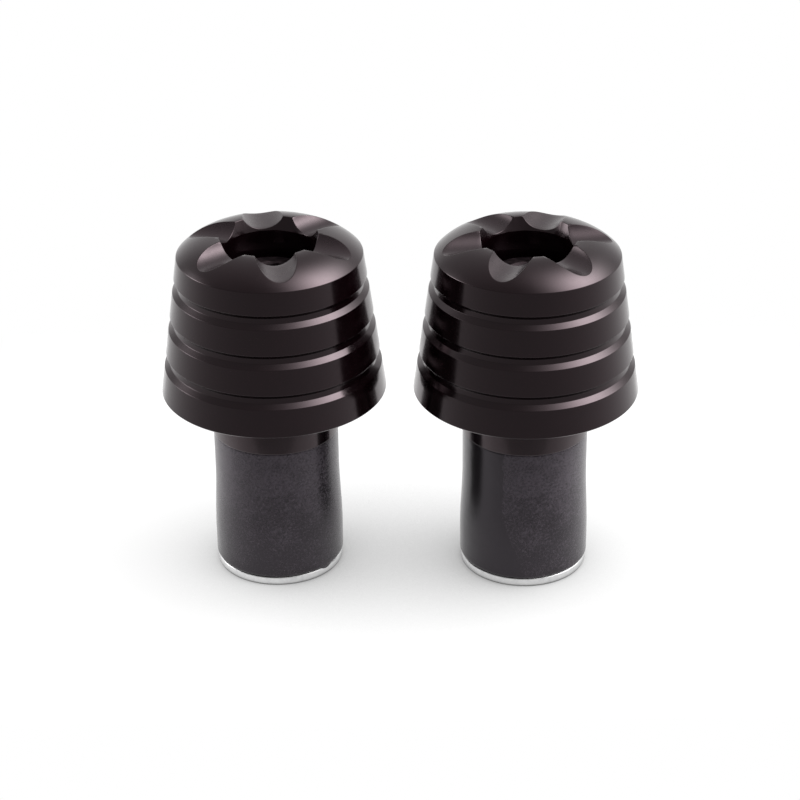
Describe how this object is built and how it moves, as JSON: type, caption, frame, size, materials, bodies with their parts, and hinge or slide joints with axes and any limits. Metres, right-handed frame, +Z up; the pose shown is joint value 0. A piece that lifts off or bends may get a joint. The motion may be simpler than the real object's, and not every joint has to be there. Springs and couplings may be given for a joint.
{
  "type": "handlebar end weight",
  "caption": "Handlebar end weights standing side by side: grooved black cones with scalloped domes, each on a rubber plug that a cap screw and a conical nut expand in the bar.",
  "frame": {"origin": "middle of the pair on the surface that both end nuts stand on", "axes": "+Z up along both screws, +X from the left one to the right one, +Y away from the viewer"},
  "size_m": [0.064, 0.0312, 0.0484],
  "materials": {
    "anodised_black": "black anodised, satin, turned",
    "black_oxide": "black oxide on steel, lightly oiled",
    "zinc": "bright zinc plate",
    "rubber": "matt moulded rubber with a dusty bloom",
    "bare_aluminium": "bare, fine turned"
  },
  "bodies": {
    "left_bar_end": {"left_weight": "anodised_black", "left_washer": "zinc", "left_collar": "anodised_black", "left_rubber_sleeve": "rubber"},
    "left_screw": {"left_cap_screw": "black_oxide"},
    "left_nut": {"left_end_nut": "bare_aluminium"},
    "right_bar_end": {"right_weight": "anodised_black", "right_washer": "zinc", "right_collar": "anodised_black", "right_rubber_sleeve": "rubber"},
    "right_screw": {"right_cap_screw": "black_oxide"},
    "right_nut": {"right_end_nut": "bare_aluminium"}
  },
  "joints": [
    {"name": "left_screw_turn", "type": "hinge", "parent": "left_bar_end", "child": "left_screw", "pos_m": [-0.0169, 0.0005, 0.0404], "axis": [0, 0, -1], "range_deg": [0, 1080]},
    {"name": "left_nut_draw", "type": "slide", "parent": "left_bar_end", "child": "left_nut", "axis": [0, 0, 1], "range_m": [0, 0.003], "deforming": ["left_rubber_sleeve"]},
    {"name": "right_screw_turn", "type": "hinge", "parent": "right_bar_end", "child": "right_screw", "pos_m": [0.0169, -0.0005, 0.0404], "axis": [0, 0, -1], "range_deg": [0, 1080]},
    {"name": "right_nut_draw", "type": "slide", "parent": "right_bar_end", "child": "right_nut", "axis": [0, 0, 1], "range_m": [0, 0.003], "deforming": ["right_rubber_sleeve"]},
    {"name": "right_lift", "type": "slide", "parent": "left_bar_end", "child": "right_bar_end", "axis": [0, 0, 1], "range_m": [0, 0.08]}
  ],
  "couplings": [
    {"joint": "left_screw_turn", "follows": "left_nut_draw", "rad_per_m": 6283.2},
    {"joint": "right_screw_turn", "follows": "right_nut_draw", "rad_per_m": 6283.2}
  ]
}
